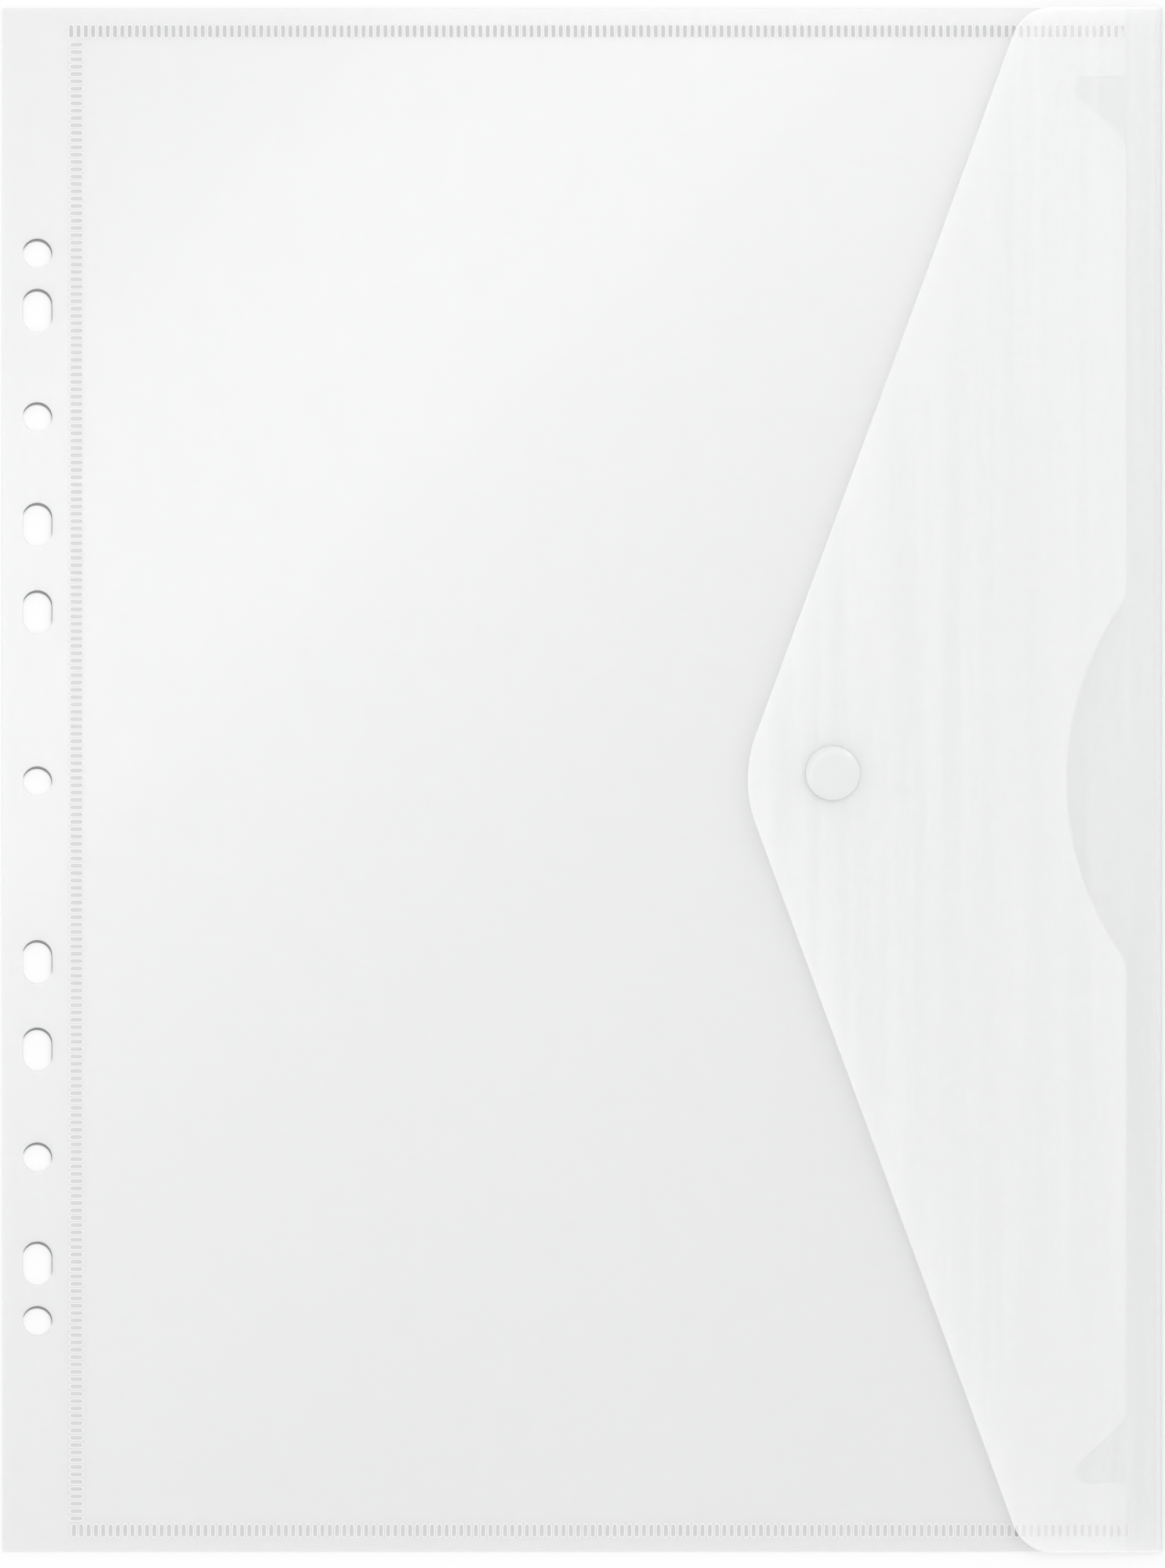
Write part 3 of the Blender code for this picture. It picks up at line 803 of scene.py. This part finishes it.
@dataclass
class Pocket:
    """Back sheet and front film of the envelope.

    Attributes:
        layout: Layout of the frame.
        margin: Filing margin, whose holes go through both films.
        notch_depth: Depth of the thumb notch.
        notch_radius: Radius of the thumb notch.
        notch_shoulder: Radius of the notch's ends.
        relief_inset: Height of the corner tabs.
        relief_depth: Depth of the corner reliefs.
        relief_angle: Angle of the reliefs' slanting side.
        relief_nose: Radius of the reliefs' inner end.
        relief_shoulder: Radius where the slanting side meets the mouth.
        tab_corner: Radius of the tabs' corners.
        painted_light_reach: Distance that the back sheet's glossy lip, paler as painted light, reaches in
            under the front film.
        prong_hole: Radius of the hole for the stud's prong.
        back_spacing: Distance of the back sheet's points.
        front_spacing: Distance of the front film's points.
    """

    layout: Layout
    margin: FilingMargin
    notch_depth: float = 0.0121
    notch_radius: float = 0.0620
    notch_shoulder: float = 0.0060
    relief_inset: float = 0.0138
    relief_depth: float = 0.0104
    relief_angle: float = math.radians(43.0)
    relief_nose: float = 0.0023
    relief_shoulder: float = 0.0045
    tab_corner: float = 0.0011
    painted_light_reach: float = 0.0165
    prong_hole: float = PRONG_HOLE
    back_spacing: float = 0.012
    front_spacing: float = 0.004

    def mouth_edge(self) -> list[Corner]:
        """Draw the free edge of the front film, with its notch, reliefs and tabs.

        Returns:
            The edge's corners, from the bottom tab up to the top tab.
        """
        mouth = self.layout.mouth
        half_chord = math.sqrt(self.notch_radius**2 - (self.notch_radius - self.notch_depth) ** 2)
        middle = mouth - self.notch_depth + self.notch_radius
        half_turn = math.asin(half_chord / self.notch_radius)
        nose = self.relief_depth + self.relief_nose * (1 / math.tan(self.relief_angle / 2) - 1)
        tab = self.layout.top - self.relief_inset
        upper = [
            (mouth, tab - nose * math.tan(self.relief_angle), self.relief_shoulder, 12),
            (mouth - nose, tab, self.relief_nose, 16),
            (mouth, tab, self.tab_corner, 8),
        ]
        lower = [(x, -y, radius, steps) for x, y, radius, steps in reversed(upper)]
        bow = arc((middle, 0.0), self.notch_radius, math.pi + half_turn, math.pi - half_turn, 24)
        notch: list[Corner] = [(x, y, 0.0, 0) for x, y in bow]
        notch[0] = (*bow[0], self.notch_shoulder, 12)
        notch[-1] = (*bow[-1], self.notch_shoulder, 12)
        return lower + notch + upper

    def build(self) -> None:
        """Build both films."""
        self.build_back()
        self.build_front()

    def build_back(self) -> None:
        """Build the flat back sheet, grey as painted shade, with a glossy lip beyond the mouth that is paler
        as painted light.
        """
        lay = self.layout
        lip = lay.mouth - self.painted_light_reach
        low_edge = [(x, lay.bottom) for x in (lay.left, lip, lay.fold_x)]
        high_edge = [(x, lay.top) for x in (lay.fold_x, lip, lay.left)]
        back = film_mesh(
            [low_edge + high_edge, *self.margin.holes()], self.back_spacing,
            lambda x, y: (x, y, 0.0),
            lambda x, y: (x, y, lay.film),
        )
        for i, face in enumerate(back.faces):
            middle = sum(back.points[k][0] for k in face) / len(face)
            if back.finishes[i] == FilmPart.FACE and middle > lip:
                back.finishes[i] = BackPart.LIP
        sheet = back.piece("back_film", [BACK_FILM_PAINTED_SHADE, FILM_EDGE, BACK_LIP_PAINTED_SHADE_AND_LIGHT], taut=True)
        place_piece(sheet, Body.ENVELOPE, ("back_sheet",))

    def build_front(self) -> None:
        """Build the front film, which swells softly from the welds."""
        lay = self.layout
        corners: list[Corner] = [(lay.left, lay.bottom, 0.0, 0), (lay.mouth, lay.bottom, 0.0, 0)]
        corners += self.mouth_edge()
        corners += [(lay.mouth, lay.top, 0.0, 0), (lay.left, lay.top, 0.0, 0)]
        prong = stadium(lay.snap, 0.0, 2 * self.prong_hole, Run.ALONG_Y, 12)
        front = film_mesh(
            [rounded(corners), *self.margin.holes(), prong], self.front_spacing,
            lambda x, y: (x, y, lay.front_under(x, y)),
            lambda x, y: (x, y, lay.front_under(x, y) + lay.film),
        ).piece("front_film", [FRONT_FILM, FILM_EDGE], taut=True)
        nodes = ("front_margin", "front_panel", "front_spine_slope", "front_top_slope", "front_bottom_slope")
        place_piece(front, Body.ENVELOPE, nodes)


@dataclass
class WeldSeam:
    """A row of fused dashes, each in a low squeezed rim.

    Attributes:
        layout: Layout of the frame.
        node: Weld that the row stands for.
        run: Direction of the row.
        first: Middle of the first dash.
        count: Number of dashes.
        pitch: Distance of the dashes.
        dash: Finish of the open dashes.
        painted_shade_dash: Finish of the dashes that lie under the flap, darker as painted shade of the
            flap.
        covered: Number of dashes at the row's end that lie under the flap and take the painted shade.
        length: Length of a dash, across the row.
        width: Width of a dash.
        rim: Width of the squeezed rim.
        rim_height: Height of the rim over the film.
        floor_height: Height of the dash's floor over the film.
        steps: Straight steps in each half-round end.
    """

    layout: Layout
    node: str
    run: Run
    first: Point
    count: int
    pitch: float
    dash: PlasticFinish
    painted_shade_dash: PlasticFinish
    covered: int = 0
    length: float = 0.0025
    width: float = 0.00076
    rim: float = 0.00026
    rim_height: float = 0.00004
    floor_height: float = 0.000012
    steps: int = 6

    def build(self) -> None:
        """Build the row as one piece."""
        mesh = Mesh()
        lay = self.layout
        film_top = lay.margin_under + lay.film
        lies = Run.ALONG_Y if self.run is Run.ALONG_X else Run.ALONG_X
        rings = (
            (0.0, lay.film),
            (2 * self.rim, film_top),
            (self.rim, film_top + self.rim_height),
            (0.0, film_top + self.floor_height),
        )
        for i in range(self.count):
            x, y = self.first
            if self.run is Run.ALONG_X:
                x += i * self.pitch
            else:
                y -= i * self.pitch
            # Dashes under the flap take the darker finish of painted shade.
            floor = DashPart.OPEN if i < self.count - self.covered else DashPart.SHADED_UNDER_FLAP
            starts = []
            for grow, z in rings:
                outline = stadium((x, y), self.length + grow, self.width + grow, lies, self.steps)
                starts.append(mesh.add([(px, py, z) for px, py in outline]))
                sides = len(outline)
            mesh.face(tuple(starts[0] + k for k in reversed(range(sides))), floor)
            for low, high in zip(starts, starts[1:]):
                mesh.band(low, high, sides, DashPart.RIM)
            mesh.face(tuple(starts[-1] + k for k in range(sides)), floor)
        row = mesh.piece(self.node + "_dashes", [WELD_RIM, self.dash, self.painted_shade_dash], crease=20.0)
        place_piece(row, Body.ENVELOPE, (self.node,))


@dataclass
class Flap:
    """V flap with the fold that joins it to the back sheet.

    Attributes:
        layout: Layout of the frame.
        edge_angle: Lean of the flap's sides from the fold.
        tip_radius: Radius of the tip.
        corner_radius: Radius of the corners at the top and bottom edges.
        prong_hole: Radius of the hole for the cap's prong.
        core_inset: Distance of the milky core's edge from the film's edge.
        spacing: Distance of the film's points.
        fold_steps: Rows of points around the fold.
    """

    layout: Layout
    edge_angle: float = math.radians(20.2)
    tip_radius: float = 0.0263
    corner_radius: float = 0.0087
    prong_hole: float = PRONG_HOLE
    core_inset: float = 0.00005
    spacing: float = 0.003
    fold_steps: int = 14

    def fold_length(self) -> float:
        """Give the length of film in the fold, along its middle."""
        return math.pi * (self.layout.fold_z - self.layout.film / 2)

    def surface(self, along: float, y: float, depth: float) -> Place:
        """Bend a flat point of the film into place.

        Args:
            along: Distance from the back sheet along the film.
            y: Place along the fold.
            depth: Depth under the outer face.

        Returns:
            The point's place.
        """
        lay = self.layout
        turn = self.fold_length()
        if along < turn:
            angle = -math.pi / 2 + math.pi * along / turn
            radius = lay.fold_z - depth
            return (lay.fold_x + radius * math.cos(angle), y, lay.fold_z + radius * math.sin(angle))
        x = lay.fold_x - (along - turn)
        rise = lay.flap_seat_under - lay.flap_fold_under
        under = lay.flap_fold_under + rise * soft_ramp(x, lay.fold_x, lay.flap_line)
        return (x, y, under + lay.film - depth)

    def outline(self) -> list[Point]:
        """Draw the flat flap.

        Returns:
            The outline, as distance from the back sheet and place along the fold.
        """
        lay = self.layout
        turn = self.fold_length()
        vertex = lay.tip - self.tip_radius * (1 / math.cos(self.edge_angle) - 1)
        corner = vertex + lay.top * math.tan(self.edge_angle)
        shape = rounded([
            (corner, lay.top, self.corner_radius, 14),
            (vertex, 0.0, self.tip_radius, 28),
            (corner, lay.bottom, self.corner_radius, 14),
            (lay.fold_x, lay.bottom, 0.0, 0),
            (lay.fold_x, lay.top, 0.0, 0),
        ])
        return [(turn + lay.fold_x - x, y) for x, y in shape]

    def outer_film(self) -> Mesh:
        """Make the outside of fold and flap.

        Returns:
            The mesh, with the fold's two halves marked.
        """
        lay = self.layout
        turn = self.fold_length()
        bend = [turn * i / self.fold_steps for i in range(self.fold_steps)]
        upper = [(s, lay.top) for s in bend]
        lower = [(s, lay.bottom) for s in reversed(bend)]
        flap = self.outline()
        mesh = film_mesh(
            [upper + flap[-1:] + flap[:-1] + lower, self.prong_loop(self.prong_hole)], self.spacing,
            lambda s, y: self.surface(s, y, 0.0),
            lambda s, y: self.surface(s, y, lay.film),
            (*bend[1:], turn),
        )
        for i, face in enumerate(mesh.faces):
            corners = [mesh.points[k] for k in face]
            if mesh.finishes[i] == FilmPart.FACE and all(x > lay.fold_x - lay.film for x, _, _ in corners):
                under = all(z <= lay.fold_z for _, _, z in corners)
                mesh.finishes[i] = FlapPart.FOLD_UNDER if under else FlapPart.FOLD_OVER
        return mesh

    def core(self) -> Mesh:
        """Make the milky core of the flap, inside its film.

        Returns:
            The core's mesh.
        """
        lay = self.layout
        flap = self.outline()
        middle_s, middle_y = [(max(row) + min(row)) / 2 for row in zip(*flap)]
        shrink_s, shrink_y = [1 - 2 * self.core_inset / (max(row) - min(row)) for row in zip(*flap)]
        inner = [
            (middle_s + (s - middle_s) * shrink_s, middle_y + (y - middle_y) * shrink_y) for s, y in flap
        ]
        mesh = film_mesh(
            [inner, self.prong_loop(self.prong_hole + self.core_inset)], self.spacing,
            lambda s, y: self.surface(s, y, lay.film / 3),
            lambda s, y: self.surface(s, y, 2 * lay.film / 3),
        )
        mesh.finishes = [FlapPart.CORE] * len(mesh.faces)
        return mesh

    def prong_loop(self, radius: float) -> list[Point]:
        """Draw the hole for the cap's prong in the flat film."""
        x, y = self.layout.snap
        return stadium((self.fold_length() + self.layout.fold_x - x, y), 0.0, 2 * radius, Run.ALONG_Y, 12)

    def build(self) -> None:
        """Build fold and flap as one film that bends across the hinge."""
        mesh = self.outer_film()
        mesh.join(self.core())
        # The fold's lower half takes the back sheet's grey painted shade.
        sheet = mesh.piece("flap_film", [FLAP_FILM, FLAP_FILM, FOLD_FILM, BACK_FILM_PAINTED_SHADE, FLAP_CORE], taut=True)
        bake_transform(sheet)
        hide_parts("flap_slope", "flap_panel", "fold_hinge")
        LOG.info("%s: %d faces across the fold", sheet.name, len(sheet.data.polygons))


@dataclass
class PressSnap:
    """Four turned pieces of the press snap, two on the flap and two on the front film.

    Attributes:
        layout: Layout of the frame.
        dome: Rise of the cap's top.
        dome_power: How late the cap's top bends down towards its edge.
        dome_steps: Rings of points on the cap's top.
        cap_edge: Radius of the cap's edge.
        stud_cap_edge: Radius of the stud cap's edge.
        prong: Radius of the prongs.
        prong_hole: Radius of the holes that the prongs pass through.
        rivet: Radius of the upset rivet ends.
        rivet_height: Thickness of the upset rivet ends.
        floor: Thickness of the socket's floor and of the stud's flange.
        socket_lip: Radius of the socket's lip.
        socket_cavity: Radius of the socket's cavity.
        ring_inner: Inner radius of the stud's ring.
        ring_outer: Outer radius of the stud's ring.
        neck_relief: Depth of the neck under the ring's bead.
        soft: Radius of the small edges.
        seat_gap: Gap between the riveted pieces.
        steps: Straight steps around each piece.
    """

    layout: Layout
    dome: float = 0.00025
    dome_power: int = 8
    dome_steps: int = 16
    cap_edge: float = 0.0003
    stud_cap_edge: float = 0.0005
    prong: float = 0.0008
    prong_hole: float = PRONG_HOLE
    rivet: float = 0.0013
    rivet_height: float = 0.0003
    floor: float = 0.0008
    socket_lip: float = 0.0026
    socket_cavity: float = 0.0028
    ring_inner: float = 0.0016
    ring_outer: float = 0.0024
    neck_relief: float = 0.0002
    soft: float = 0.00015
    seat_gap: float = 0.00005
    steps: int = 72

    def turned(self, node: str, profile: list[Point], closed: bool, body: Body,
               finish: PlasticFinish) -> None:
        """Turn a profile about the snap's axis.

        Args:
            node: CAD node that the piece replaces.
            profile: Points as (radius, height), with the solid to the right of the path.
            closed: Whether the profile is a ring around a hole.
            body: Body that the piece rides on.
            finish: Finish of the piece.
        """
        mesh = Mesh()
        rings: list[tuple[int, bool]] = []
        for radius, z in profile:
            pole = radius == 0.0
            circle = arc(self.layout.snap, radius, 0.0, 2 * math.pi, self.steps)[:-1]
            rings.append((mesh.add([(x, y, z) for x, y in (circle[:1] if pole else circle)]), pole))
        pairs = list(zip(rings, rings[1:]))
        if closed:
            pairs.append((rings[-1], rings[0]))
        for (a, a_pole), (b, b_pole) in pairs:
            for i in range(self.steps):
                k = (i + 1) % self.steps
                if a_pole:
                    mesh.face((a, b + i, b + k))
                elif b_pole:
                    mesh.face((a + i, b, a + k))
                else:
                    mesh.face((a + i, b + i, b + k, a + k))
        made = mesh.piece(node + "_turned", [finish], crease=40.0)
        place_piece(made, body, (node,))

    def build(self) -> None:
        """Build all four pieces."""
        self.build_cap()
        self.build_socket()
        self.build_stud()
        self.build_stud_cap()

    def build_cap(self) -> None:
        """Build the domed button on the flap, with its prong and rivet end."""
        low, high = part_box("snap_cap")
        radius = (high.x - low.x) / 2
        rim = radius - self.cap_edge
        foot = self.layout.flap_seat_under + self.layout.film + self.seat_gap
        prong_end = low.z + self.rivet_height
        shares = [i / self.dome_steps for i in range(self.dome_steps)]
        top = [(rim * share, high.z - self.dome * share**self.dome_power) for share in shares]
        edge = arc((rim, high.z - self.dome - self.cap_edge), self.cap_edge, math.pi / 2, 0.0, 8)
        foot_edge = arc((radius - self.seat_gap, foot + self.seat_gap), self.seat_gap, 0.0, -math.pi / 2, 4)
        profile = top + edge + foot_edge + [
            (self.prong, foot),
            (self.prong, prong_end),
            (self.rivet, prong_end),
            (self.rivet, low.z),
            (0.0, low.z),
        ]
        self.turned("snap_cap", profile, False, Body.FLAP, CAP_PLASTIC)

    def build_socket(self) -> None:
        """Build the socket under the flap."""
        low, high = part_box("snap_socket")
        radius = (high.x - low.x) / 2
        floor = high.z - self.floor
        profile = rounded([
            (self.prong_hole, high.z, 0.0, 0),
            (radius, high.z, self.soft, 4),
            (radius, low.z, self.soft, 4),
            (self.socket_lip, low.z, self.soft, 4),
            (self.socket_lip, low.z + 2 * self.soft, 0.0, 0),
            (self.socket_cavity, low.z + 2 * self.soft + self.socket_cavity - self.socket_lip, 0.0, 0),
            (self.socket_cavity, floor, 0.0, 0),
            (self.prong_hole, floor, 0.0, 0),
        ])
        self.turned("snap_socket", profile, True, Body.FLAP, SNAP_PLASTIC)

    def build_stud(self) -> None:
        """Build the stud on the front film, with its ring and flange."""
        low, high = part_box("snap_stud")
        radius = (high.x - low.x) / 2
        flange = low.z + self.floor
        neck = self.ring_outer - self.neck_relief
        bead = (flange + high.z) / 2
        profile = rounded([
            (self.prong_hole, flange, 0.0, 0),
            (self.ring_inner, flange, 0.0, 0),
            (self.ring_inner, high.z, self.soft, 4),
            (self.ring_outer, high.z, self.soft, 4),
            (self.ring_outer, bead, 0.0, 0),
            (neck, bead - self.neck_relief, 0.0, 0),
            (neck, flange, 0.0, 0),
            (radius, flange, self.soft, 4),
            (radius, low.z, self.soft, 4),
            (self.prong_hole, low.z, 0.0, 0),
        ])
        self.turned("snap_stud", profile, True, Body.ENVELOPE, SNAP_PLASTIC)

    def build_stud_cap(self) -> None:
        """Build the flat button inside the pocket, with its prong and rivet end."""
        low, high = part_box("snap_stud_cap")
        radius = (high.x - low.x) / 2
        face = self.layout.panel_under - self.seat_gap
        prong_end = high.z - self.rivet_height
        rivet_end = [
            (0.0, high.z),
            (self.rivet, high.z),
            (self.rivet, prong_end),
            (self.prong, prong_end),
            (self.prong, face),
        ]
        face_edge = arc((radius - self.soft, face - self.soft), self.soft, math.pi / 2, 0.0, 4)
        centre = (radius - self.stud_cap_edge, low.z + self.stud_cap_edge)
        low_edge = arc(centre, self.stud_cap_edge, 0.0, -math.pi / 2, 8)
        profile = rivet_end + face_edge + low_edge + [(0.0, low.z)]
        self.turned("snap_stud_cap", profile, False, Body.ENVELOPE, SNAP_PLASTIC)


# Studio


@dataclass(frozen=True)
class PanelLight:
    """A soft panel light.

    Attributes:
        name: Name of the light.
        place: Middle of the panel.
        target: Point that the panel faces.
        size: Width and length of the panel.
        power: Power in watts.
        roll: Turn of the panel about its own axis, in radians.
    """

    name: str
    place: Place
    target: Place
    size: Point
    power: float
    roll: float = 0.0

    def build(self) -> None:
        """Hang the panel, out of the camera's sight."""
        data = bpy.data.lights.new(self.name, "AREA")
        data.shape = "RECTANGLE"
        data.size, data.size_y = self.size
        data.energy = self.power
        panel = bpy.data.objects.new(self.name, data)
        panel.location = self.place
        facing = (Vector(self.target) - Vector(self.place)).to_track_quat("-Z", "Y").to_euler()
        facing.rotate_axis("Z", self.roll)
        panel.rotation_euler = facing
        panel.visible_camera = False
        bpy.context.scene.collection.objects.link(panel)


KEY_LIGHT = PanelLight(
    "key_light", place=(3.0, 1.4, 3.75), target=(0.0, 0.0, 0.0), size=(1.2, 1.2), power=7.0,
)
GLOSS_LIGHT = PanelLight(
    "gloss_light", place=(-0.141, 0.141, 1.3), target=(-0.141, 0.141, 0.0), size=(0.148, 1.2),
    power=2.05, roll=math.radians(-45.0),
)
GLINT_LIGHT = PanelLight(
    "glint_light", place=(0.5, 0.45, 1.3), target=(0.05, 0.0, 0.0), size=(0.12, 0.12), power=0.9,
)


@dataclass
class Studio:
    """Floor, lights and camera.

    Attributes:
        lights: Panel lights.
        ambient: Level of the even light in the room.
        floor_colour: Grey level of the floor.
        floor_half: Half the width of the floor.
        floor_level: Height of the floor, just clear of the back sheet.
        picture_height: Height of the picture on the envelope, in metres.
        picture_centre: Middle of the picture on the envelope.
        lens: Focal length in millimetres.
        sensor: Length of the sensor's long side in millimetres.
        sight: How far the camera sees.
        films_passed: Faces of film that light may pass straight through.
        bounces: Bounces of light in all.
        surface_bounces: Bounces of light off matt or glossy faces.
    """

    lights: tuple[PanelLight, ...] = (KEY_LIGHT, GLOSS_LIGHT, GLINT_LIGHT)
    ambient: float = 0.955
    floor_colour: float = 0.90
    floor_half: float = 6.0
    floor_level: float = -0.00005
    picture_height: float = 0.31742
    picture_centre: Point = (0.00007, -0.00087)
    lens: float = 150.0
    sensor: float = 36.0
    sight: float = 50.0
    films_passed: int = 128
    bounces: int = 28
    surface_bounces: int = 24

    def build(self) -> None:
        """Build the studio."""
        self.build_floor()
        self.build_world()
        for light in self.lights:
            light.build()
        self.build_camera()

    def build_floor(self) -> None:
        """Lay the pale floor."""
        half, level = self.floor_half, self.floor_level
        corners = [(-half, -half, level), (half, -half, level), (half, half, level), (-half, half, level)]
        data = bpy.data.meshes.new("floor")
        data.from_pydata(corners, [], [(0, 1, 2, 3)])
        paint = bpy.data.materials.new("floor_paint")
        paint.use_nodes = True
        sockets = paint.node_tree.nodes["Principled BSDF"].inputs
        sockets["Base Color"].default_value = (self.floor_colour,) * 3 + (1.0,)
        sockets["Roughness"].default_value = 1.0
        sockets["Specular IOR Level"].default_value = 0.0
        data.materials.append(paint)
        floor = bpy.data.objects.new("floor", data)
        bpy.context.scene.collection.objects.link(floor)

    def build_world(self) -> None:
        """Fill the room with even light, white where the camera or a gloss sees it."""
        world = bpy.data.worlds.new("studio")
        world.use_nodes = True
        tree = world.node_tree
        sky = tree.nodes["Background"]
        sky.inputs["Color"].default_value = (1.0, 1.0, 1.0, 1.0)
        rays = tree.nodes.new("ShaderNodeLightPath")
        seen = rays.outputs["Is Camera Ray"]
        for ray in ("Is Glossy Ray", "Is Transmission Ray"):
            either = tree.nodes.new("ShaderNodeMath")
            either.operation = "MAXIMUM"
            tree.links.new(seen, either.inputs[0])
            tree.links.new(rays.outputs[ray], either.inputs[1])
            seen = either.outputs["Value"]
        level = spread(tree, seen, (0.0, 1.0), (self.ambient, 1.0))
        tree.links.new(level, sky.inputs["Strength"])
        bpy.context.scene.world = world

    def build_camera(self) -> None:
        """Hang the camera straight over the envelope."""
        data = bpy.data.cameras.new("camera")
        data.lens = self.lens
        data.sensor_width = self.sensor
        data.clip_end = self.sight
        camera = bpy.data.objects.new("camera", data)
        camera.location = (*self.picture_centre, self.picture_height * self.lens / self.sensor)
        scene = bpy.context.scene
        scene.collection.objects.link(camera)
        scene.camera = camera
        scene.view_settings.view_transform = "Standard"
        cycles = scene.cycles
        cycles.transparent_max_bounces = self.films_passed
        cycles.max_bounces = self.bounces
        cycles.diffuse_bounces = self.surface_bounces
        cycles.glossy_bounces = self.surface_bounces


# Whole envelope


def weld_seams(layout: Layout) -> list[WeldSeam]:
    """Set out the three rows of weld dashes.

    Args:
        layout: Layout of the frame.

    Returns:
        The top, bottom and spine rows.
    """
    top = WeldSeam(
        layout, "top_weld", Run.ALONG_X, first=(-0.10340, layout.top_weld), count=145, pitch=0.0014787,
        dash=TOP_DASH, painted_shade_dash=TOP_PAINTED_SHADE_DASH, covered=15,
    )
    bottom = WeldSeam(
        layout, "bottom_weld", Run.ALONG_X, first=(-0.10283, layout.bottom_weld), count=145, pitch=0.0014787,
        dash=BOTTOM_DASH, painted_shade_dash=BOTTOM_PAINTED_SHADE_DASH, covered=16,
    )
    spine = WeldSeam(
        layout, "spine_weld", Run.ALONG_Y, first=(layout.spine, 0.14873), count=202, pitch=0.0014837,
        dash=SPINE_DASH, painted_shade_dash=SPINE_DASH,
    )
    return [top, bottom, spine]


def main() -> None:
    """Build the envelope piece by piece, then the studio."""
    logging.basicConfig(level=logging.INFO, format="%(name)s: %(message)s")
    layout = Layout.read()
    margin = FilingMargin(layout)
    Pocket(layout, margin).build()
    margin.build()
    for seam in weld_seams(layout):
        seam.build()
    Flap(layout).build()
    PressSnap(layout).build()
    Studio().build()


if __name__ == "__main__":
    main()
